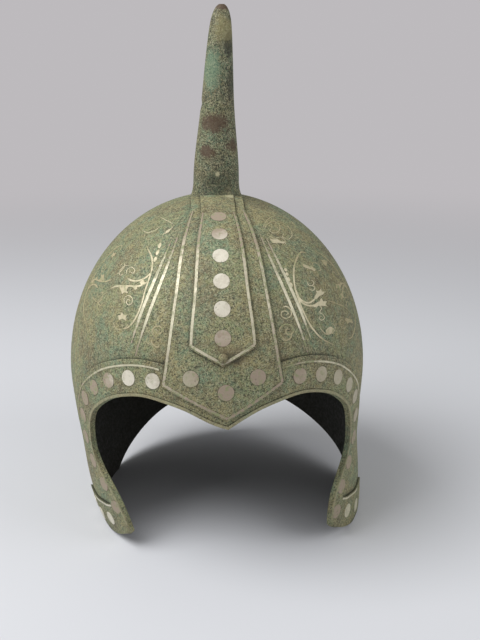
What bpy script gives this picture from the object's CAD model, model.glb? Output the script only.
import math

import bpy
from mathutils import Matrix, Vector
from mathutils.bvhtree import BVHTree


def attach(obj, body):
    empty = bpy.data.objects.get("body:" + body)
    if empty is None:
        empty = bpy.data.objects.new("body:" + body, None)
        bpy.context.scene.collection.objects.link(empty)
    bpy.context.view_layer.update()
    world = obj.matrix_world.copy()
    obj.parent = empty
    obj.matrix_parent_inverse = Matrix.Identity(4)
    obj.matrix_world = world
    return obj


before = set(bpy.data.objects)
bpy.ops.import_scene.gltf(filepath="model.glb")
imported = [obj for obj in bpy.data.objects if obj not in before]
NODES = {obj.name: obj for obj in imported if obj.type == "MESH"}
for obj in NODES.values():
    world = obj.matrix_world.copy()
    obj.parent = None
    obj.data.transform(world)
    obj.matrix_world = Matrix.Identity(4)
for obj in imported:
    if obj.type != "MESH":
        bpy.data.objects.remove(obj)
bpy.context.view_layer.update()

bl_info = {
    "name": "Ancient helmet",
    "version": (1, 0, 0),
    "blender": (4, 5, 0),
    "location": "View3D > Sidebar > Helmet",
    "description": "Patinated bronze helmet with silver inlay",
    "category": "Object",
}

BOWL = NODES["skull_bowl"]
DOME_CENTRE = Vector((0.0, 0.0, 0.114))
# how far from the dome's middle the rays start that look for its wall
FAR_OUT = 0.3
SHARP_ANGLE = math.radians(25.0)
SENSOR_WIDTH_MM = 36.0
CAMERA_NEAR = 0.01
FLOOR_SIDES = 128


# Sizes and colours

def colour_property(name, description, default):
    return bpy.props.FloatVectorProperty(
        name=name, description=description, default=default,
        size=3, min=0.0, max=1.0, subtype="COLOR")


def length_property(name, description, default):
    return bpy.props.FloatProperty(
        name=name, description=description, default=default,
        min=0.0, soft_max=0.1, precision=5, unit="LENGTH")


def share_property(name, description, default):
    return bpy.props.FloatProperty(
        name=name, description=description, default=default,
        min=0.0, max=1.0, subtype="FACTOR")


def stage_length_property(name, description, default):
    return bpy.props.FloatProperty(
        name=name, description=description, default=default, min=0.0, unit="LENGTH")


def power_property(name, description, default):
    return bpy.props.FloatProperty(
        name=name, description=description, default=default, min=0.0, unit="POWER")


def place_property(name, description, default):
    return bpy.props.FloatVectorProperty(
        name=name, description=description, default=default, subtype="TRANSLATION")


class HelmetPatina(bpy.types.PropertyGroup):
    """Colours and grain of the bronze"""

    green: colour_property("Green", "Main patina colour", (0.240, 0.268, 0.130))
    verdigris: colour_property("Verdigris", "Blue-green patches", (0.152, 0.240, 0.152))
    olive: colour_property("Olive", "Yellow-olive patches", (0.310, 0.272, 0.128))
    brown: colour_property("Brown", "Bare brown patches", (0.150, 0.112, 0.062))
    pale: colour_property("Pale", "Pale flecks of corrosion", (0.450, 0.425, 0.270))
    dark: colour_property("Dirt", "Dirt in corners and pits", (0.030, 0.032, 0.020))
    inside: colour_property("Inside", "Dirt on the inner wall", (0.024, 0.023, 0.018))
    lip: colour_property("Lip", "Rubbed edge of the opening", (0.360, 0.325, 0.205))
    turquoise: colour_property("Turquoise", "Bright patches on the spike", (0.160, 0.270, 0.175))
    rust: colour_property("Red brown", "Red-brown patches on the spike", (0.085, 0.050, 0.030))
    patch_size: length_property("Patch size", "Width of the colour patches", 0.027)
    grain_size: length_property("Grain", "Width of the cast grain", 0.0009)
    pit_size: length_property("Pits", "Distance between corrosion pits", 0.0026)
    relief: length_property("Relief", "Depth of the grain and pits", 0.0005)
    crumb_size: length_property("Crumbs", "Width of the small colour crumbs", 0.0036)
    edge_round: length_property("Edge rounding", "Rounding of edges in the shading", 0.0006)
    dirt_reach: length_property("Dirt reach", "How far dirt spreads from a step", 0.004)


class HelmetSilver(bpy.types.PropertyGroup):
    """Colours of the silver inlay"""

    bright: colour_property("Bright", "Rubbed silver of the discs", (0.700, 0.660, 0.550))
    line: colour_property("Line", "Rubbed silver of the lines", (0.620, 0.580, 0.430))
    dull: colour_property("Dull", "Dull whitish silver", (0.450, 0.410, 0.300))
    tarnished: colour_property("Tarnished", "Pinkish grey tarnish", (0.330, 0.265, 0.200))
    tarnish_size: length_property("Tarnish patches", "Width of the tarnish patches", 0.012)


class HelmetInlay(bpy.types.PropertyGroup):
    """Sizes of the inlaid ornament on the dome"""

    bright: colour_property("Bright", "Rubbed silver of the ornament", (0.600, 0.540, 0.370))
    faded: colour_property("Faded", "Faded silver of the ornament", (0.400, 0.345, 0.205))
    line_width: length_property("Line", "Width of an inlaid line", 0.0009)
    fine_width: length_property("Fine line", "Width of a fine line", 0.0006)
    leaf_width: length_property("Leaf", "Width of a leaf mark", 0.0026)
    body_width: length_property("Body", "Width of the beast's body lines", 0.0013)
    rise: length_property("Rise", "How far the inlay stands proud", 0.00018)
    sink: length_property("Sink", "How deep the inlay is set", 0.0002)


class HelmetStage(bpy.types.PropertyGroup):
    """Floor, light and camera"""

    backdrop: colour_property("Backdrop", "Colour of the backdrop", (0.510, 0.492, 0.510))
    cloth: colour_property("Floor", "Colour of the floor near the helmet", (0.600, 0.610, 0.640))
    cloth_roughness: share_property("Floor roughness", "Roughness of the floor", 0.9)
    floor_radius: stage_length_property("Floor radius", "Radius of the round floor", 4.0)
    fade_start: stage_length_property("Fade start", "Where the floor starts to fade out", 0.35)
    fade_end: stage_length_property("Fade end", "Where the floor has the backdrop's colour", 1.6)
    sky_light: bpy.props.FloatProperty(
        name="Sky", description="Strength of the light from all round", default=0.30, min=0.0)
    key_power: power_property("Key light", "Power of the large lamp above", 31.0)
    key_size: stage_length_property("Key size", "Width of the large lamp above", 1.2)
    key_place: place_property("Key place", "Place of the large lamp above", (-0.95, -0.35, 1.40))
    fill_power: power_property("Fill light", "Power of the lamp in front", 7.5)
    fill_size: stage_length_property("Fill size", "Width of the lamp in front", 1.0)
    fill_place: place_property("Fill place", "Place of the lamp in front", (1.2, -0.5, 0.9))
    lamp_aim: place_property("Lamp aim", "Point that both lamps face", (0.0, 0.0, 0.15))
    camera_place: place_property("Camera", "Place of the camera", (-0.0183, -0.6182, 0.3459))
    camera_turn: bpy.props.FloatVectorProperty(
        name="Camera turn", description="Turn of the camera",
        default=(math.radians(72.0), 0.0, math.radians(-3.3)), subtype="EULER")
    lens: bpy.props.FloatProperty(
        name="Lens", description="Focal length in millimetres on a 36 mm sensor",
        default=48.23, min=1.0)


# Shader node helpers

NODES_PER_ROW = 8
NODE_STEP = (200, -260)
# the part of 0 to 1 that a noise texture really covers
NOISE_RANGE = (0.3, 0.7)


def add(tree, kind, inputs=None, **settings):
    """Adds a node to a tree, sets it up and links or fills its inputs"""
    made = tree.nodes.new(kind)
    for key, value in settings.items():
        setattr(made, key, value)
    for key, value in (inputs or {}).items():
        if isinstance(value, bpy.types.NodeSocket):
            tree.links.new(value, made.inputs[key])
        else:
            made.inputs[key].default_value = value
    row, column = divmod(len(tree.nodes), NODES_PER_ROW)
    made.location = (NODE_STEP[0] * column, NODE_STEP[1] * row)
    return made


def math_node(tree, operation, first, second=0.0, clamp=False):
    made = add(tree, "ShaderNodeMath", {0: first, 1: second}, operation=operation, use_clamp=clamp)
    return made.outputs["Value"]


def spread_node(tree, value, low, high, to_low=0.0, to_high=1.0):
    made = add(tree, "ShaderNodeMapRange", {
        "Value": value, "From Min": low, "From Max": high, "To Min": to_low, "To Max": to_high},
        interpolation_type="SMOOTHSTEP")
    return made.outputs["Result"]


def mix_node(tree, share, first, second):
    """Mixes two colours. The node has sockets of the same name for other kinds of value, so the
    right ones are found by their type too."""
    made = add(tree, "ShaderNodeMix", data_type="RGBA")
    values = {("Factor", "VALUE"): share, ("A", "RGBA"): first, ("B", "RGBA"): second}
    for socket in made.inputs:
        value = values.get((socket.name, socket.type))
        if isinstance(value, bpy.types.NodeSocket):
            tree.links.new(value, socket)
        elif value is not None:
            socket.default_value = value
    return next(socket for socket in made.outputs if socket.type == "RGBA")


def new_group(name, inputs, outputs):
    """A node group with named sockets, each given as (name, kind, default)"""
    group = bpy.data.node_groups.new(name, "ShaderNodeTree")
    for label, kind, default in inputs:
        socket = group.interface.new_socket(label, in_out="INPUT", socket_type="NodeSocket" + kind)
        if default is not None:
            socket.default_value = default
    for label, kind in outputs:
        group.interface.new_socket(label, in_out="OUTPUT", socket_type="NodeSocket" + kind)
    start = group.nodes.new("NodeGroupInput")
    end = group.nodes.new("NodeGroupOutput")
    return group, start.outputs, end.inputs


def use_group(tree, group, inputs=None):
    return add(tree, "ShaderNodeGroup", inputs, node_tree=group)


def rgba(colour):
    return (*colour, 1.0)


# Shared effects

def patch_group():
    """Ragged patches: a mask that covers the given share of the surface"""
    group, given, result = new_group(
        "Ragged patches",
        [("Position", "Vector", None), ("Size", "Float", 0.02), ("Share", "Float", 0.4),
         ("Softness", "Float", 0.25), ("Variant", "Float", 0.0)],
        [("Mask", "Float")])
    moved = add(group, "ShaderNodeVectorMath", {0: given["Position"], 1: given["Variant"]}, operation="ADD")
    scale = math_node(group, "DIVIDE", 1.0, given["Size"])
    noise = add(group, "ShaderNodeTexNoise", {
        "Vector": moved.outputs["Vector"], "Scale": scale, "Detail": 7.0, "Roughness": 0.66})
    level = spread_node(group, noise.outputs["Fac"], *NOISE_RANGE)
    edge = math_node(group, "SUBTRACT", 1.0, given["Share"])
    low = math_node(group, "SUBTRACT", edge, given["Softness"])
    high = math_node(group, "ADD", edge, given["Softness"])
    group.links.new(spread_node(group, level, low, high), result["Mask"])
    return group


# Layers of the patina: noise variant, colour, size, share that it covers, strength
PATINA_LAYERS = (
    (1.3, "Verdigris", "Patch Size", "Verdigris Share", 0.80),
    (4.1, "Olive", "Patch Size", "Olive Share", 0.90),
    (7.7, "Brown", "Patch Size", "Brown Share", 0.70),
    (2.2, "Brown", "Crumb Size", 0.36, 0.55),
    (9.4, "Verdigris", "Crumb Size", 0.32, 0.42),
    (6.1, "Olive", "Crumb Size", 0.32, 0.50),
    (3.6, "Dark", "Crumb Size", 0.24, 0.42),
)
# Flecks of the patina: noise scale, noise level of none and of full cover, colour, strength
PATINA_FLECKS = (
    (760.0, 0.52, 0.66, "Pale", 0.55),
    (1500.0, 0.50, 0.66, "Pale", 0.55),
    (900.0, 0.48, 0.34, "Dark", 0.75),
    (1700.0, 0.48, 0.34, "Dark", 0.75),
)
ROUGH_SCALE = 420.0
BRONZE_ROUGHNESS = (0.58, 0.86)


def patina_group(patches):
    """Corroded bronze: green ground with soft patches, small crumbs and a fine speckle"""
    group, given, result = new_group(
        "Bronze patina",
        [("Position", "Vector", None), ("Green", "Color", None), ("Verdigris", "Color", None),
         ("Olive", "Color", None), ("Brown", "Color", None), ("Pale", "Color", None),
         ("Dark", "Color", None), ("Patch Size", "Float", 0.02), ("Crumb Size", "Float", 0.004),
         ("Verdigris Share", "Float", 0.4), ("Olive Share", "Float", 0.35), ("Brown Share", "Float", 0.2),
         ("Speckle", "Float", 0.5)],
        [("Color", "Color"), ("Roughness", "Float")])
    position = given["Position"]
    colour = given["Green"]
    for variant, name, size, share, strength in PATINA_LAYERS:
        mask = use_group(group, patches, {
            "Position": position, "Size": given[size], "Variant": variant,
            "Share": given[share] if isinstance(share, str) else share})
        strong = math_node(group, "MULTIPLY", mask.outputs["Mask"], strength)
        colour = mix_node(group, strong, colour, given[name])
    for scale, low, high, name, strength in PATINA_FLECKS:
        noise = add(group, "ShaderNodeTexNoise", {
            "Vector": position, "Scale": scale, "Detail": 2.0, "Roughness": 0.55})
        mask = spread_node(group, noise.outputs["Fac"], low, high)
        mask = math_node(group, "MULTIPLY", mask, strength)
        mask = math_node(group, "MULTIPLY", mask, given["Speckle"], True)
        colour = mix_node(group, mask, colour, given[name])
    group.links.new(colour, result["Color"])
    rough = add(group, "ShaderNodeTexNoise", {"Vector": position, "Scale": ROUGH_SCALE, "Detail": 2.0})
    roughness = spread_node(group, rough.outputs["Fac"], *NOISE_RANGE, *BRONZE_ROUGHNESS)
    group.links.new(roughness, result["Roughness"])
    return group


# Ragged edge of a stain: noise scale and how far it pulls the edge
STAIN_RAGS = ((150.0, 1.1), (900.0, 1.3))
# where a stain starts to fade and where it ends, as shares of its reach
STAIN_EDGE_SHARES = (0.55, 1.05)


def stain_group():
    """A soft ragged stain about one place"""
    group, given, result = new_group(
        "Stain",
        [("Position", "Vector", None), ("Centre", "Vector", None), ("Reach", "Float", 0.01),
         ("Stretch", "Float", 1.0), ("Strength", "Float", 0.5)],
        [("Mask", "Float")])
    place = add(group, "ShaderNodeVectorMath", {
        0: given["Position"], 1: given["Centre"]}, operation="SUBTRACT")
    parts = add(group, "ShaderNodeSeparateXYZ", {0: place.outputs["Vector"]})
    flat = add(group, "ShaderNodeCombineXYZ", {
        "X": parts.outputs["X"], "Y": parts.outputs["Y"],
        "Z": math_node(group, "DIVIDE", parts.outputs["Z"], given["Stretch"])})
    away = add(group, "ShaderNodeVectorMath", {0: flat.outputs["Vector"]}, operation="LENGTH")
    away = math_node(group, "DIVIDE", away.outputs["Value"], given["Reach"])
    for scale, depth in STAIN_RAGS:
        noise = add(group, "ShaderNodeTexNoise", {
            "Vector": given["Position"], "Scale": scale, "Detail": 4.0, "Roughness": 0.6})
        ragged = math_node(group, "SUBTRACT", noise.outputs["Fac"], 0.5)
        away = math_node(group, "ADD", away, math_node(group, "MULTIPLY", ragged, depth))
    mask = spread_node(group, away, *STAIN_EDGE_SHARES, 1.0, 0.0)
    group.links.new(math_node(group, "MULTIPLY", mask, given["Strength"]), result["Mask"])
    return group


# Relief of the skin: noise scales, and how much of the height is grain, lumps and pits
LUMP_SCALE = 150.0
PITTED_SCALE = 190.0
GRAIN_SHARE = 0.55
LUMP_SHARE = 0.8
PIT_SHARE = 0.35
# a pit's floor and rim, as distances from its middle in cells
PIT_EDGE = (0.12, 0.34)
# noise level where pits begin and where they are deepest
PITTED_LEVEL = (0.48, 0.6)


def skin_group():
    """Cast and corroded skin: lumps, grain and scattered pits as one height"""
    group, given, result = new_group(
        "Pitted skin",
        [("Position", "Vector", None), ("Grain Size", "Float", 0.0009), ("Pit Size", "Float", 0.0026)],
        [("Height", "Float"), ("Pits", "Float")])
    grain = add(group, "ShaderNodeTexNoise", {
        "Vector": given["Position"], "Scale": math_node(group, "DIVIDE", 1.0, given["Grain Size"]),
        "Detail": 3.0, "Roughness": 0.6})
    lumps = add(group, "ShaderNodeTexNoise", {
        "Vector": given["Position"], "Scale": LUMP_SCALE, "Detail": 2.0})
    cells = add(group, "ShaderNodeTexVoronoi", {
        "Vector": given["Position"], "Scale": math_node(group, "DIVIDE", 1.0, given["Pit Size"]),
        "Randomness": 1.0})
    hollow = spread_node(group, cells.outputs["Distance"], *PIT_EDGE, 1.0, 0.0)
    places = add(group, "ShaderNodeTexNoise", {
        "Vector": given["Position"], "Scale": PITTED_SCALE, "Detail": 3.0})
    pits = math_node(group, "MULTIPLY", hollow, spread_node(group, places.outputs["Fac"], *PITTED_LEVEL))
    height = math_node(group, "MULTIPLY", grain.outputs["Fac"], GRAIN_SHARE)
    lumpy = math_node(group, "MULTIPLY", lumps.outputs["Fac"], LUMP_SHARE)
    height = math_node(group, "ADD", height, lumpy)
    height = math_node(group, "SUBTRACT", height, math_node(group, "MULTIPLY", pits, PIT_SHARE))
    group.links.new(height, result["Height"])
    group.links.new(pits, result["Pits"])
    return group


CORNER_SAMPLES = 8
# openness of a place that is full of dirt and of one that has none
CORNER_LEVEL = (0.45, 0.95)


def corner_group():
    """Dirt that gathers in corners and along steps"""
    group, given, result = new_group(
        "Corner dirt", [("Reach", "Float", 0.004), ("Strength", "Float", 0.8)], [("Mask", "Float")])
    shade = add(group, "ShaderNodeAmbientOcclusion", {"Distance": given["Reach"]}, samples=CORNER_SAMPLES)
    mask = spread_node(group, shade.outputs["AO"], *CORNER_LEVEL, 1.0, 0.0)
    group.links.new(math_node(group, "MULTIPLY", mask, given["Strength"]), result["Mask"])
    return group


# how far behind the dome's middle a wall's plane lies where the inner dirt is full
INWARD_FACING = -0.03


def inner_wall_group():
    """1 on the inner wall of the bowl, 0 on the outer wall"""
    group, given, result = new_group(
        "Inner wall", [("Position", "Vector", None), ("Normal", "Vector", None)], [("Mask", "Float")])
    place = add(group, "ShaderNodeVectorMath", {
        0: given["Position"], 1: DOME_CENTRE}, operation="SUBTRACT")
    parts = add(group, "ShaderNodeSeparateXYZ", {0: place.outputs["Vector"]})
    up = math_node(group, "MAXIMUM", parts.outputs["Z"], 0.0)
    outward = add(group, "ShaderNodeCombineXYZ", {
        "X": parts.outputs["X"], "Y": parts.outputs["Y"], "Z": up})
    facing = add(group, "ShaderNodeVectorMath", {
        0: outward.outputs["Vector"], 1: given["Normal"]}, operation="DOT_PRODUCT")
    mask = spread_node(group, facing.outputs["Value"], INWARD_FACING, 0.0, 1.0, 0.0)
    group.links.new(mask, result["Mask"])
    return group


# where bright silver starts to dull and where none is left, as shares of its reach
BRIGHT_EDGE_SHARES = (0.55, 1.25)
DULL_SHARE = 0.45
DULL_STRENGTH = 0.3
# size of the worn spots, as a share of the tarnish patches' size
WORN_SIZE_SHARE = 0.25
# how much is lost in a worn spot of bright and of tarnished silver
WORN_STRENGTH = (0.25, 0.9)
# dullness at which silver wears as much as it can
FULLY_WORN_DULLNESS = 0.6
# roughness and metallic of bright and of tarnished silver
SILVER_ROUGHNESS = (0.50, 0.70)
SILVER_METALLIC = (0.35, 0.12)
WORN_ROUGHNESS = 0.2


def tarnish_group(patches):
    """Silver, rubbed bright near one spot and tarnished away from it"""
    group, given, result = new_group(
        "Silver tarnish",
        [("Position", "Vector", None), ("Bright", "Color", None), ("Tarnished", "Color", None),
         ("Patina", "Color", None), ("Patch Size", "Float", 0.012), ("Bright Spot", "Vector", None),
         ("Bright Reach", "Float", 0.05), ("Worn Share", "Float", 0.25)],
        [("Color", "Color"), ("Roughness", "Float"), ("Metallic", "Float")])
    away = add(group, "ShaderNodeVectorMath", {
        0: given["Position"], 1: given["Bright Spot"]}, operation="DISTANCE")
    distance = math_node(group, "DIVIDE", away.outputs["Value"], given["Bright Reach"])
    near = spread_node(group, distance, *BRIGHT_EDGE_SHARES, 1.0, 0.0)
    dull = use_group(group, patches, {
        "Position": given["Position"], "Size": given["Patch Size"], "Share": DULL_SHARE, "Variant": 2.9})
    dullness = math_node(group, "SUBTRACT", 1.0, near)
    dulled = math_node(group, "MULTIPLY", dull.outputs["Mask"], DULL_STRENGTH)
    dullness = math_node(group, "ADD", dullness, dulled, True)
    silver = mix_node(group, dullness, given["Bright"], given["Tarnished"])
    worn_size = math_node(group, "MULTIPLY", given["Patch Size"], WORN_SIZE_SHARE)
    worn = use_group(group, patches, {
        "Position": given["Position"], "Size": worn_size, "Share": given["Worn Share"], "Variant": 5.3})
    wear = spread_node(group, dullness, 0.0, FULLY_WORN_DULLNESS, *WORN_STRENGTH)
    lost = math_node(group, "MULTIPLY", worn.outputs["Mask"], wear)
    group.links.new(mix_node(group, lost, silver, given["Patina"]), result["Color"])
    rough = spread_node(group, dullness, 0.0, 1.0, *SILVER_ROUGHNESS)
    roughened = math_node(group, "MULTIPLY", lost, WORN_ROUGHNESS)
    group.links.new(math_node(group, "ADD", rough, roughened), result["Roughness"])
    shine = spread_node(group, dullness, 0.0, 1.0, *SILVER_METALLIC)
    kept = math_node(group, "SUBTRACT", 1.0, lost)
    group.links.new(math_node(group, "MULTIPLY", shine, kept), result["Metallic"])
    return group


def effect(name):
    """The shared node group of that name, built the first time it is asked for"""
    made = bpy.data.node_groups.get(name)
    if made is None:
        needed = [effect(other) for other in EFFECTS[name][1]]
        made = EFFECTS[name][0](*needed)
    return made


EFFECTS = {
    "Ragged patches": (patch_group, ()),
    "Bronze patina": (patina_group, ("Ragged patches",)),
    "Stain": (stain_group, ()),
    "Pitted skin": (skin_group, ()),
    "Corner dirt": (corner_group, ()),
    "Inner wall": (inner_wall_group, ()),
    "Silver tarnish": (tarnish_group, ("Ragged patches",)),
}


# Materials

BRONZE_METALLIC = 0.15
PIT_DIRT = 0.45
SILVER_PIT_DIRT = 0.3
INNER_WALL_DIRT = 0.95
SILVER_RELIEF = 0.5
EDGE_SAMPLES = 4


def new_material(name, metallic=None):
    material = bpy.data.materials.new(name)
    material.use_nodes = True
    tree = material.node_tree
    tree.nodes.clear()
    shader = tree.nodes.new("ShaderNodeBsdfPrincipled")
    output = tree.nodes.new("ShaderNodeOutputMaterial")
    tree.links.new(shader.outputs["BSDF"], output.inputs["Surface"])
    if metallic is not None:
        shader.inputs["Metallic"].default_value = metallic
    position = add(tree, "ShaderNodeTexCoord").outputs["Object"]
    return material, tree, shader, position


def bronze_material(name, shares, speckle=1.0, dirt=0.8, tone=1.0, inner_wall=False, rubbed=None,
                    stains=()):
    """Patinated bronze. shares are those of verdigris, olive and brown, tone darkens or lightens
    them all, rubbed is how pale the whole piece is worn, and each stain is (colour, centre, reach,
    stretch, strength)."""
    patina = bpy.context.scene.helmet_patina
    material, tree, shader, position = new_material(name, metallic=BRONZE_METALLIC)

    def toned(colour):
        return rgba([tone * part for part in colour])

    ground = use_group(tree, effect("Bronze patina"), {
        "Position": position, "Green": toned(patina.green), "Verdigris": toned(patina.verdigris),
        "Olive": toned(patina.olive), "Brown": toned(patina.brown), "Pale": toned(patina.pale),
        "Dark": rgba(patina.dark), "Patch Size": patina.patch_size, "Crumb Size": patina.crumb_size,
        "Verdigris Share": shares[0], "Olive Share": shares[1], "Brown Share": shares[2],
        "Speckle": speckle})
    colour = ground.outputs["Color"]
    for tint, centre, reach, stretch, strength in stains:
        mask = use_group(tree, effect("Stain"), {
            "Position": position, "Centre": centre, "Reach": reach, "Stretch": stretch,
            "Strength": strength})
        colour = mix_node(tree, mask.outputs["Mask"], colour, rgba(tint))
    if rubbed is not None:
        colour = mix_node(tree, rubbed, colour, rgba(patina.lip))
    skin = use_group(tree, effect("Pitted skin"), {
        "Position": position, "Grain Size": patina.grain_size, "Pit Size": patina.pit_size})
    pits = math_node(tree, "MULTIPLY", skin.outputs["Pits"], PIT_DIRT)
    colour = mix_node(tree, pits, colour, rgba(patina.dark))
    corners = use_group(tree, effect("Corner dirt"), {"Reach": patina.dirt_reach, "Strength": dirt})
    colour = mix_node(tree, corners.outputs["Mask"], colour, rgba(patina.dark))
    if inner_wall:
        facing = add(tree, "ShaderNodeNewGeometry")
        inside = use_group(tree, effect("Inner wall"), {
            "Position": position, "Normal": facing.outputs["Normal"]})
        mask = math_node(tree, "MULTIPLY", inside.outputs["Mask"], INNER_WALL_DIRT)
        colour = mix_node(tree, mask, colour, rgba(patina.inside))
    edges = add(tree, "ShaderNodeBevel", {"Radius": patina.edge_round}, samples=EDGE_SAMPLES)
    bump = add(tree, "ShaderNodeBump", {
        "Height": skin.outputs["Height"], "Strength": 1.0, "Distance": patina.relief,
        "Normal": edges.outputs["Normal"]})
    tree.links.new(colour, shader.inputs["Base Color"])
    tree.links.new(ground.outputs["Roughness"], shader.inputs["Roughness"])
    tree.links.new(bump.outputs["Normal"], shader.inputs["Normal"])
    return material


def silver_material(name, tints, spot, reach, worn):
    """Silver inlay of the first tint around one spot and of the second away from it"""
    silver = bpy.context.scene.helmet_silver
    patina = bpy.context.scene.helmet_patina
    material, tree, shader, position = new_material(name)
    tarnish = use_group(tree, effect("Silver tarnish"), {
        "Position": position, "Bright": rgba(tints[0]), "Tarnished": rgba(tints[1]),
        "Patina": rgba(patina.green), "Patch Size": silver.tarnish_size,
        "Bright Spot": spot, "Bright Reach": reach, "Worn Share": worn})
    skin = use_group(tree, effect("Pitted skin"), {
        "Position": position, "Grain Size": patina.grain_size, "Pit Size": patina.pit_size})
    dirt = math_node(tree, "MULTIPLY", skin.outputs["Pits"], SILVER_PIT_DIRT)
    colour = mix_node(tree, dirt, tarnish.outputs["Color"], rgba(patina.dark))
    bump = add(tree, "ShaderNodeBump", {
        "Height": skin.outputs["Height"], "Strength": SILVER_RELIEF, "Distance": patina.relief})
    tree.links.new(colour, shader.inputs["Base Color"])
    for key in ("Roughness", "Metallic"):
        tree.links.new(tarnish.outputs[key], shader.inputs[key])
    tree.links.new(bump.outputs["Normal"], shader.inputs["Normal"])
    return material


def dress(names, material):
    """Gives CAD nodes a material and names the record's slot for it"""
    for name in names:
        node = NODES[name]
        if not node.material_slots:
            node.data.materials.append(material)
        for place in node.material_slots:
            place.material = material


def both_sides(name):
    return ["right_" + name, "left_" + name]


# The dome as a drawing surface

class Dome:
    """Finds places on the bowl's outer wall by angle: degrees round from the front, towards +X,
    and degrees up, both seen from the middle of the dome"""

    def __init__(self):
        mesh = BOWL.data
        self.tree = BVHTree.FromPolygons(
            [v.co for v in mesh.vertices], [tuple(p.vertices) for p in mesh.polygons])

    def at(self, around, up):
        turn, lift = math.radians(around), math.radians(up)
        out = Vector((math.sin(turn) * math.cos(lift), -math.cos(turn) * math.cos(lift), math.sin(lift)))
        place, normal, _, _ = self.tree.ray_cast(DOME_CENTRE + out * FAR_OUT, -out)
        if place is None:
            raise RuntimeError(f"the bowl has no wall at {around}, {up}")
        return place, normal if normal.dot(out) > 0 else -normal


def smooth_line(points, spans=6):
    """A rounded line through the given points, with that many steps between each two"""
    points = [Vector(p) for p in points]
    if len(points) == 2:
        points = [points[0], (points[0] + points[1]) / 2, points[1]]
    ends = [2 * points[0] - points[1]] + points + [2 * points[-1] - points[-2]]
    line = []
    for before, start, stop, after in zip(ends, ends[1:], ends[2:], ends[3:]):
        for step in range(spans):
            t = step / spans
            line.append(0.5 * (2 * start + t * (stop - before)
                               + t * t * (2 * before - 5 * start + 4 * stop - after)
                               + t * t * t * (3 * start - before - 3 * stop + after)))
    return line + [points[-1]]


# Section of an inlaid line: share of its width to the side, share of its rise, or None at its foot
STROKE_SECTION = ((-0.5, None), (-0.46, 0.6), (0.0, 1.0), (0.46, 0.6), (0.5, None))
# share of a line's length over which each end narrows
TAPER_SHARE = 0.125
# a lower power makes a leaf fuller
LEAF_POWER = 0.6
LEAF_TIP_SHARE = 0.05


def stroke(made, dome, points, width, tip=0.35, leaf=False):
    """One inlaid stroke along points on the dome. tip is the share of the width left at its ends,
    and a leaf swells to its middle instead of keeping its width"""
    inlay = bpy.context.scene.helmet_inlay
    vertices, faces = made
    line = smooth_line(points)
    places = [dome.at(*p) for p in line]
    first = len(vertices)
    count = len(STROKE_SECTION)
    for i, (place, normal) in enumerate(places):
        ahead = places[min(i + 1, len(places) - 1)][0] - places[max(i - 1, 0)][0]
        side = normal.cross(ahead).normalized()
        t = i / (len(places) - 1)
        full = math.sin(math.pi * t) ** LEAF_POWER if leaf else min(1.0, min(t, 1 - t) / TAPER_SHARE)
        wide = width * (tip + (1 - tip) * full)
        for across, up in STROKE_SECTION:
            height = -inlay.sink if up is None else inlay.rise * up
            vertices.append(place + side * (wide * across) + normal * height)
    for i in range(len(places) - 1):
        base = first + i * count
        for j in range(count):
            k = (j + 1) % count
            faces.append((base + j, base + k, base + count + k, base + count + j))
    faces.append(tuple(first + j for j in reversed(range(count))))
    last = first + (len(places) - 1) * count
    faces.append(tuple(last + j for j in range(count)))


def inlay_object(name, made, material):
    """Makes one object of the strokes and plates that were drawn"""
    mesh = bpy.data.meshes.new(name)
    mesh.from_pydata(made[0], [], made[1])
    mesh.materials.append(material)
    mesh.validate()
    mesh.shade_smooth()
    mesh.set_sharp_from_angle(angle=SHARP_ANGLE)
    piece = bpy.data.objects.new(name, mesh)
    bpy.context.scene.collection.objects.link(piece)
    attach(piece, "root")


def patch(made, dome, outline):
    """One small inlaid plate inside a closed outline on the dome"""
    inlay = bpy.context.scene.helmet_inlay
    vertices, faces = made
    first = len(vertices)
    count = len(outline)
    middle = [sum(spot[i] for spot in outline) / count for i in (0, 1)]
    for height in (inlay.rise, -inlay.sink):
        for spot in (*outline, middle):
            place, normal = dome.at(*spot)
            vertices.append(place + normal * height)
    top, foot = first + count, first + 2 * count + 1
    for i in range(count):
        k = (i + 1) % count
        faces.append((first + i, first + k, top + 1 + k, top + 1 + i))
        faces.append((first + k, first + i, top))
        faces.append((top + 1 + i, top + 1 + k, foot))


# Drawn ornament, as (round from the front, up) in degrees

ROUNDEL_MIDDLE = {"right": (51.5, 34.5), "left": (-52.0, 39.5)}
ROUNDEL_BODY = {
    "right": (
        ((48.9, 50.3), (45.4, 50.9), (40.3, 49.4), (35.4, 46.7), (32.4, 43.6), (30.6, 39.9), (30.3, 35.9),
         (31.2, 31.2), (33.1, 26.8), (37.1, 22.4), (43.2, 19.0)),
        ((30.7, 38.7), (30.8, 36.5), (32.3, 35.0), (34.7, 34.2), (37.6, 34.6), (40.1, 35.6)),
        ((30.4, 37.2), (31.2, 35.0), (33.4, 33.7), (36.2, 33.1), (38.8, 33.2)),
    ),
    "left": (
        ((-42.1, 54.6), (-35.8, 51.6), (-32.6, 49.2), (-30.9, 46.3), (-30.5, 42.8), (-30.6, 39.0),
         (-30.5, 35.3), (-31.4, 31.5), (-33.6, 28.0), (-36.9, 26.5)),
        ((-30.4, 45.6), (-32.4, 43.5), (-35.8, 42.2), (-39.5, 42.0), (-42.3, 42.4)),
        ((-30.6, 42.4), (-33.1, 40.9), (-36.0, 40.4), (-41.2, 40.0), (-47.1, 39.3), (-50.6, 38.1)),
    ),
}
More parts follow.
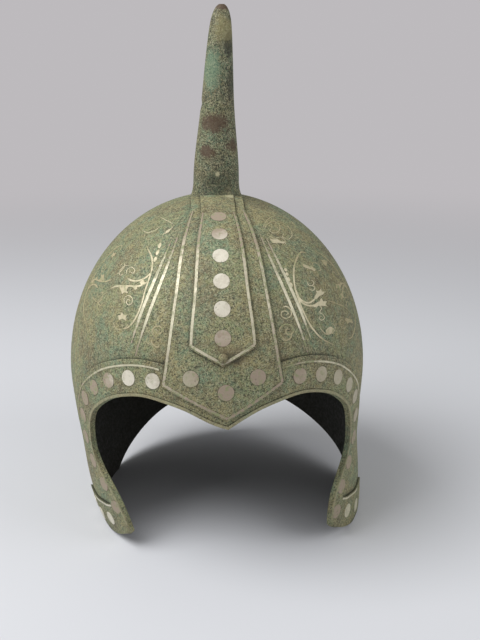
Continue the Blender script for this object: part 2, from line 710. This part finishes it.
ROUNDEL_PATCHES = {
    "right": (
        ((38.8, 35.5), (41.3, 36.7), (41.3, 37.5), (43.0, 37.0), (44.8, 37.6), (45.0, 36.6), (47.0, 36.3),
         (44.7, 35.6), (42.2, 35.5), (39.7, 34.8)),
        ((36.5, 33.0), (39.6, 33.8), (41.3, 33.9), (42.8, 34.8), (43.2, 33.6), (45.8, 33.2), (44.1, 32.5),
         (44.9, 31.5), (42.4, 32.2), (39.6, 32.6), (37.0, 32.4)),
        ((41.0, 47.0), (42.8, 46.2), (45.0, 45.7), (47.4, 45.7), (47.1, 44.8), (48.3, 44.1), (46.7, 43.5),
         (45.0, 44.3), (42.9, 44.9), (40.7, 45.6)),
        ((40.0, 24.6), (41.8, 25.1), (43.6, 25.1), (44.9, 24.0), (43.7, 23.3), (44.5, 22.4), (42.0, 23.1),
         (40.0, 23.3)),
    ),
    "left": (
        ((-34.9, 41.9), (-33.9, 42.3), (-33.6, 42.9), (-32.4, 42.1), (-31.4, 41.7), (-32.4, 41.1),
         (-33.2, 40.8)),
        ((-37.4, 40.1), (-36.3, 40.5), (-35.3, 40.6), (-34.8, 39.7), (-35.5, 39.2), (-36.4, 39.5)),
        ((-45.4, 39.4), (-43.4, 39.3), (-41.9, 40.1), (-39.9, 39.8), (-40.0, 38.7), (-38.7, 37.9),
         (-40.9, 37.9), (-41.9, 37.2), (-43.2, 38.2)),
        ((-40.4, 30.5), (-39.2, 30.8), (-38.9, 31.7), (-37.5, 31.0), (-36.0, 31.3), (-36.3, 30.3),
         (-35.7, 29.4), (-37.8, 29.8), (-39.3, 29.1)),
    ),
}
ROUNDEL_CURLS = {
    "right": (
        ((37.6, 32.0), (39.8, 32.8), (41.0, 31.6), (39.2, 30.6), (40.6, 29.6), (41.0, 28.4), (39.0, 28.0),
         (37.9, 28.9), (39.4, 29.2)),
        ((41.0, 41.2), (42.2, 40.2), (40.6, 39.3), (38.4, 39.6), (38.2, 41.0)),
        ((37.6, 38.4), (39.8, 37.7), (41.4, 38.6), (40.4, 39.2)),
        ((36.8, 26.2), (38.4, 24.4), (40.2, 23.2), (43.6, 23.0), (46.0, 24.2), (45.0, 26.0)),
        ((47.4, 45.7), (50.6, 46.6), (53.0, 45.2), (52.0, 43.4), (49.6, 43.6)),
    ),
    "left": (
        ((-38.9, 34.5), (-39.8, 36.1), (-38.2, 37.1), (-35.9, 36.6), (-35.2, 35.2), (-36.5, 34.3),
         (-38.1, 35.0), (-37.6, 36.0), (-36.4, 35.6)),
        ((-44.4, 43.7), (-45.4, 45.3), (-43.4, 46.3), (-40.4, 45.5), (-40.5, 44.4), (-42.4, 44.7)),
        ((-42.0, 28.0), (-40.7, 26.8), (-38.2, 26.3), (-35.5, 27.3), (-34.4, 28.9)),
        ((-46.0, 46.6), (-48.6, 46.4), (-50.0, 44.6), (-48.4, 43.0), (-46.2, 43.8)),
        ((-52.0, 36.4), (-54.6, 35.0), (-55.4, 32.6), (-53.0, 31.8), (-51.8, 33.2)),
    ),
}
LOOSE_STROKES = {
    "right": (
        ((29.7, 61.2), (36.1, 63.6), (44.4, 64.9), (48.6, 63.6), (44.2, 61.1), (36.8, 59.5), (34.0, 60.6),
         (38.4, 62.5)),
        ((51.5, 64.5), (56.0, 63.0), (54.8, 60.4), (50.0, 57.8), (42.8, 56.4), (39.9, 57.5), (43.9, 59.1)),
        ((30.2, 62.2), (38.1, 65.2), (49.4, 67.1), (63.2, 66.7), (70.2, 63.5), (66.6, 60.4)),
        ((30.0, 58.8), (32.9, 57.3), (38.2, 57.6), (39.7, 55.7), (37.2, 54.5)),
        ((52.1, 57.6), (54.5, 55.5), (60.8, 53.5), (64.2, 51.2)),
        ((46.6, 33.4), (53.0, 31.0), (59.0, 28.6), (63.0, 25.6)),
    ),
    "left": (
        ((-28.6, 36.0), (-30.0, 29.0), (-31.5, 24.0)),
        ((-34.0, 64.5), (-39.0, 65.5), (-50.0, 67.0), (-57.0, 67.5)),
        ((-32.5, 63.5), (-33.0, 61.5), (-36.0, 59.5)),
        ((-43.5, 63.0), (-45.5, 61.0), (-50.0, 59.8), (-58.0, 60.4)),
    ),
}
LOOSE_CURLS = {
    "right": (
        ((22.0, 34.1), (24.0, 34.2), (25.6, 33.0), (25.1, 31.4), (23.0, 30.7), (21.3, 31.5), (21.6, 32.7),
         (23.2, 32.9), (24.1, 32.1), (23.1, 31.7)),
        ((19.5, 26.1), (19.8, 28.0), (22.0, 29.0), (24.4, 28.4), (24.9, 26.7), (23.5, 25.7), (22.0, 26.2),
         (22.2, 27.5), (23.4, 27.3)),
        ((20.2, 25.4), (21.4, 24.3), (23.1, 24.6), (24.0, 25.6)),
    ),
    "left": (
        ((-22.0, 27.1), (-20.9, 27.1), (-20.3, 28.1), (-21.2, 29.0), (-23.0, 29.0), (-23.9, 28.1),
         (-25.1, 27.7), (-25.5, 26.7)),
        ((-24.3, 27.9), (-23.6, 27.1), (-24.0, 26.1), (-24.9, 26.3)),
        ((-25.5, 25.5), (-25.7, 24.2), (-24.5, 23.5)),
        ((-24.1, 25.0), (-23.2, 23.6), (-21.4, 23.0), (-20.8, 23.9)),
    ),
}
LOOSE_LEAVES = {
    "right": (((29.3, 46.2), (29.2, 45.0)), ((29.0, 44.8), (29.0, 43.5)), ((28.9, 43.2), (28.9, 41.7)),
              ((29.0, 41.4), (29.2, 39.9))),
    "left": (((-33.6, 56.1), (-32.4, 53.9)), ((-32.3, 53.4), (-31.7, 51.3)),
             ((-31.8, 50.7), (-31.0, 48.9))),
}
LOOSE_PATCHES = {
    "right": (
        ((29.4, 57.3), (31.6, 56.9), (34.7, 56.9), (36.4, 55.9), (39.6, 55.6), (36.9, 54.9), (33.6, 55.4),
         (29.6, 55.4)),
    ),
    "left": (
        ((-32.6, 62.6), (-35.4, 61.2), (-34.2, 59.8), (-32.4, 60.8)),
    ),
}


def turned(points, middle):
    """The same outline turned half round about the middle of a roundel"""
    return [(2 * middle[0] - around, 2 * middle[1] - up) for around, up in points]


def roundel_strokes(made, dome, side, inlay):
    """A pair of coiled beasts whose backs close a ring"""
    middle = ROUNDEL_MIDDLE[side]
    for shapes, width in ((ROUNDEL_BODY[side], inlay.body_width), (ROUNDEL_CURLS[side], inlay.fine_width)):
        for points in shapes:
            stroke(made, dome, points, width)
            stroke(made, dome, turned(points, middle), width)
    for outline in ROUNDEL_PATCHES[side]:
        patch(made, dome, outline)
        patch(made, dome, turned(outline, middle))


# Where each silver piece is still bright: its colours near and away, the middle of the bright part,
# how far it reaches, and the share of the faded silver that has worn away

LINE_WEAR = {
    "outer_plate_line": ("line", "tarnished", (-0.008, -0.092, 0.178), 0.055, 0.40),
    "inner_plate_line": ("line", "tarnished", (-0.008, -0.092, 0.182), 0.046, 0.40),
    "right_ray_wires": ("line", "tarnished", (0.040, -0.088, 0.190), 0.036, 0.50),
    "left_ray_wires": ("line", "tarnished", (-0.038, -0.086, 0.191), 0.033, 0.55),
    "right_brow_line": ("line", "tarnished", (0.090, -0.085, 0.130), 0.050, 0.50),
    "left_brow_line": ("line", "tarnished", (-0.062, -0.100, 0.145), 0.050, 0.50),
    "right_lobe_line": ("line", "dull", (0.100, -0.055, 0.018), 0.050, 0.35),
    "left_lobe_line": ("bright", "dull", (-0.086, -0.055, 0.018), 0.060, 0.25),
}
DISC_WEAR = {
    "crown_disc_row": ("bright", "tarnished", (-0.003, -0.088, 0.198), 0.037, 0.12),
    "brow_disc_set": ("dull", "tarnished", (-0.034, -0.118, 0.140), 0.020, 0.25),
    "right_edge_discs": ("dull", "tarnished", (0.086, -0.070, 0.124), 0.056, 0.20),
    "left_edge_discs": ("bright", "tarnished", (-0.054, -0.100, 0.138), 0.024, 0.25),
    "right_lobe_discs": ("line", "dull", (0.100, -0.055, 0.018), 0.050, 0.30),
    "left_lobe_discs": ("bright", "dull", (-0.086, -0.055, 0.018), 0.060, 0.20),
}
# The same for the ornament: how far the bright part reaches, and the worn share
ROUNDEL_WEAR = (0.030, 0.30)
SCROLL_WEAR = (0.040, 0.35)
# how far round to a roundel's middle its bright part lies
ROUNDEL_BRIGHT_SHARE = 0.72


def dress_silver(wear):
    """Gives each silver node of a list its own worn silver"""
    silver = bpy.context.scene.helmet_silver
    for name, (near, away, place, reach, worn) in wear.items():
        tints = (getattr(silver, near), getattr(silver, away))
        dress([name], silver_material(name + "_silver", tints, place, reach, worn))


class HELMET_OT_bowl(bpy.types.Operator):
    """Patinates the bowl and darkens its inner wall"""

    bl_idname = "helmet.bowl"
    bl_label = "Bowl"

    def execute(self, context):
        material = bronze_material("bowl_bronze", (0.44, 0.36, 0.24), inner_wall=True)
        dress(["skull_bowl"], material)
        return {"FINISHED"}


class HELMET_OT_plates(bpy.types.Operator):
    """Patinates the two raised front plates and the knob"""

    bl_idname = "helmet.plates"
    bl_label = "Front plates"

    def execute(self, context):
        patina = context.scene.helmet_patina
        stains = (
            (patina.pale, (0.0095, -0.0190, 0.2415), 0.0050, 0.8, 0.75),
            (patina.brown, (0.006, -0.117, 0.159), 0.0120, 0.7, 0.55),
            (patina.dark, (0.007, -0.117, 0.158), 0.0060, 0.7, 0.50),
        )
        material = bronze_material("plate_bronze", (0.42, 0.38, 0.28), stains=stains)
        dress(["outer_front_plate", "inner_front_plate", "tip_stud"], material)
        return {"FINISHED"}


class HELMET_OT_bands(bpy.types.Operator):
    """Patinates the edge bands and the lobe plates"""

    bl_idname = "helmet.bands"
    bl_label = "Edge bands and lobes"

    def execute(self, context):
        material = bronze_material("band_bronze", (0.36, 0.40, 0.30))
        dress(both_sides("edge_band") + both_sides("lobe_plate"), material)
        return {"FINISHED"}


class HELMET_OT_lips(bpy.types.Operator):
    """Patinates the turned lips and rubs them pale"""

    bl_idname = "helmet.lips"
    bl_label = "Edge lips"

    def execute(self, context):
        material = bronze_material("lip_bronze", (0.2, 0.4, 0.2), speckle=0.8, dirt=0.3, rubbed=0.45)
        dress(both_sides("edge_lip") + ["nape_lip"], material)
        return {"FINISHED"}


class HELMET_OT_spike(bpy.types.Operator):
    """Patinates the crown spike"""

    bl_idname = "helmet.spike"
    bl_label = "Crown spike"

    def execute(self, context):
        patina = context.scene.helmet_patina
        stains = (
            (patina.turquoise, (-0.004, -0.009, 0.327), 0.0090, 1.8, 0.50),
            (patina.rust, (-0.001, -0.013, 0.292), 0.0130, 0.6, 0.85),
            (patina.rust, (-0.0065, -0.0134, 0.2726), 0.0070, 0.8, 0.85),
            (patina.rust, (0.011, -0.0085, 0.276), 0.0070, 0.8, 0.80),
            (patina.dark, (0.009, -0.006, 0.344), 0.0048, 2.4, 0.80),
            (patina.dark, (0.0115, -0.006, 0.318), 0.0055, 2.6, 0.60),
            (patina.olive, (0.006, -0.005, 0.354), 0.0080, 1.4, 0.50),
            (patina.rust, (0.005, -0.002, 0.370), 0.0075, 0.6, 0.85),
            (patina.dark, (0.000, -0.014, 0.250), 0.0140, 0.8, 0.40),
            (patina.pale, (0.0006, -0.016, 0.2577), 0.0018, 1.0, 0.90),
            (patina.pale, (0.0095, -0.0175, 0.2420), 0.0050, 0.8, 0.85),
        )
        material = bronze_material(
            "spike_bronze", (0.50, 0.30, 0.34), speckle=1.7, tone=0.78, stains=stains)
        dress(["crown_spike"], material)
        return {"FINISHED"}


class HELMET_OT_silver_lines(bpy.types.Operator):
    """Gives the silver lines of the plates, bands and lobes their worn silver"""

    bl_idname = "helmet.silver_lines"
    bl_label = "Silver lines"

    def execute(self, context):
        dress_silver(LINE_WEAR)
        return {"FINISHED"}


class HELMET_OT_silver_discs(bpy.types.Operator):
    """Gives the silver discs their bright or tarnished faces"""

    bl_idname = "helmet.silver_discs"
    bl_label = "Silver discs"

    def execute(self, context):
        dress_silver(DISC_WEAR)
        return {"FINISHED"}


class HELMET_OT_roundels(bpy.types.Operator):
    """Inlays a roundel with a pair of coiled beasts on each side of the dome"""

    bl_idname = "helmet.roundels"
    bl_label = "Roundels"

    def execute(self, context):
        inlay = context.scene.helmet_inlay
        dome = Dome()
        for side, middle in ROUNDEL_MIDDLE.items():
            spot, _ = dome.at(middle[0] * ROUNDEL_BRIGHT_SHARE, middle[1])
            tints = (inlay.bright, inlay.faded)
            material = silver_material(side + "_roundel_silver", tints, spot, *ROUNDEL_WEAR)
            made = ([], [])
            roundel_strokes(made, dome, side, inlay)
            inlay_object(side + "_roundel", made, material)
        return {"FINISHED"}


class HELMET_OT_scrolls(bpy.types.Operator):
    """Inlays the scrolls, spirals and leaf marks round the roundels"""

    bl_idname = "helmet.scrolls"
    bl_label = "Scrolls"

    def execute(self, context):
        inlay = context.scene.helmet_inlay
        dome = Dome()
        for side in ROUNDEL_MIDDLE:
            made = ([], [])
            for points in LOOSE_STROKES[side]:
                stroke(made, dome, points, inlay.fine_width)
            for points in LOOSE_CURLS[side]:
                stroke(made, dome, points, inlay.line_width)
            for points in LOOSE_LEAVES[side]:
                stroke(made, dome, points, inlay.leaf_width, tip=LEAF_TIP_SHARE, leaf=True)
            for outline in LOOSE_PATCHES[side]:
                patch(made, dome, outline)
            first_leaf_tip = LOOSE_LEAVES[side][0][0]
            spot, _ = dome.at(*first_leaf_tip)
            tints = (inlay.bright, inlay.faded)
            material = silver_material(side + "_scroll_silver", tints, spot, *SCROLL_WEAR)
            inlay_object(side + "_scrolls", made, material)
        return {"FINISHED"}


class HELMET_OT_stage(bpy.types.Operator):
    """Sets the floor, the backdrop, the lamps and the camera"""

    bl_idname = "helmet.stage"
    bl_label = "Stage"

    def execute(self, context):
        stage = context.scene.helmet_stage
        self.floor(context.scene, stage)
        self.sky(context.scene, stage)
        self.lamp(context.scene, "key_lamp", stage.key_place, stage.key_size, stage.key_power, stage)
        self.lamp(context.scene, "fill_lamp", stage.fill_place, stage.fill_size, stage.fill_power, stage)
        self.camera(context.scene, stage)
        context.scene.view_settings.view_transform = "Standard"
        return {"FINISHED"}

    def lamp(self, scene, name, place, size, power, stage):
        light = bpy.data.lights.new(name, "AREA")
        light.size = size
        light.energy = power
        lamp = bpy.data.objects.new(name, light)
        lamp.location = place
        aim = Vector(stage.lamp_aim) - lamp.location
        lamp.rotation_euler = aim.to_track_quat("-Z", "Y").to_euler()
        scene.collection.objects.link(lamp)

    def camera(self, scene, stage):
        camera = bpy.data.objects.new("camera", bpy.data.cameras.new("camera"))
        camera.data.lens = stage.lens
        camera.data.sensor_width = SENSOR_WIDTH_MM
        camera.data.clip_start = CAMERA_NEAR
        camera.location = stage.camera_place
        camera.rotation_euler = stage.camera_turn
        scene.collection.objects.link(camera)
        scene.camera = camera

    def floor(self, scene, stage):
        turns = [math.tau * i / FLOOR_SIDES for i in range(FLOOR_SIDES)]
        rim = [(stage.floor_radius * math.cos(turn), stage.floor_radius * math.sin(turn), 0.0)
               for turn in turns]
        mesh = bpy.data.meshes.new("floor")
        mesh.from_pydata(rim, [], [tuple(range(FLOOR_SIDES))])
        material = bpy.data.materials.new("floor_cloth")
        material.use_nodes = True
        tree = material.node_tree
        shader = tree.nodes["Principled BSDF"]
        shader.inputs["Base Color"].default_value = rgba(stage.cloth)
        shader.inputs["Roughness"].default_value = stage.cloth_roughness
        glow = add(tree, "ShaderNodeEmission", {"Color": rgba(stage.backdrop), "Strength": 1.0})
        position = add(tree, "ShaderNodeTexCoord").outputs["Object"]
        away = add(tree, "ShaderNodeVectorMath", {0: position}, operation="LENGTH")
        far = spread_node(tree, away.outputs["Value"], stage.fade_start, stage.fade_end)
        blend = add(tree, "ShaderNodeMixShader", {
            0: far, 1: shader.outputs["BSDF"], 2: glow.outputs["Emission"]})
        tree.links.new(blend.outputs["Shader"], tree.nodes["Material Output"].inputs["Surface"])
        mesh.materials.append(material)
        floor = bpy.data.objects.new("floor", mesh)
        scene.collection.objects.link(floor)

    def sky(self, scene, stage):
        world = bpy.data.worlds.new("sky")
        world.use_nodes = True
        tree = world.node_tree
        light = tree.nodes["Background"]
        light.inputs["Color"].default_value = (1.0, 1.0, 1.0, 1.0)
        light.inputs["Strength"].default_value = stage.sky_light
        seen = add(tree, "ShaderNodeBackground", {"Color": rgba(stage.backdrop), "Strength": 1.0})
        path = add(tree, "ShaderNodeLightPath")
        blend = add(tree, "ShaderNodeMixShader", {
            0: path.outputs["Is Camera Ray"], 1: light.outputs["Background"],
            2: seen.outputs["Background"]})
        tree.links.new(blend.outputs["Shader"], tree.nodes["World Output"].inputs["Surface"])
        scene.world = world


class HELMET_PT_panel(bpy.types.Panel):
    """Lists the helmet's sizes, colours and pieces"""

    bl_label = "Ancient helmet"
    bl_idname = "HELMET_PT_panel"
    bl_space_type = "VIEW_3D"
    bl_region_type = "UI"
    bl_category = "Helmet"

    def draw(self, context):
        for name in SETTINGS:
            group = getattr(context.scene, name)
            box = self.layout.box()
            for key in group.bl_rna.properties.keys():
                if key not in ("name", "rna_type"):
                    box.prop(group, key)
        for operator in OPERATORS:
            self.layout.operator(operator.bl_idname)


SETTINGS = {
    "helmet_patina": HelmetPatina,
    "helmet_silver": HelmetSilver,
    "helmet_inlay": HelmetInlay,
    "helmet_stage": HelmetStage,
}
OPERATORS = (
    HELMET_OT_bowl, HELMET_OT_plates, HELMET_OT_bands, HELMET_OT_lips, HELMET_OT_spike,
    HELMET_OT_silver_lines, HELMET_OT_silver_discs, HELMET_OT_roundels, HELMET_OT_scrolls,
    HELMET_OT_stage,
)


def register():
    for made in (*SETTINGS.values(), *OPERATORS, HELMET_PT_panel):
        bpy.utils.register_class(made)
    for name, made in SETTINGS.items():
        setattr(bpy.types.Scene, name, bpy.props.PointerProperty(type=made))


def unregister():
    for name in SETTINGS:
        delattr(bpy.types.Scene, name)
    for made in reversed((*SETTINGS.values(), *OPERATORS, HELMET_PT_panel)):
        bpy.utils.unregister_class(made)


def main():
    register()
    for operator in OPERATORS:
        group, name = operator.bl_idname.split(".")
        getattr(getattr(bpy.ops, group), name)()


if __name__ == "__main__":
    main()
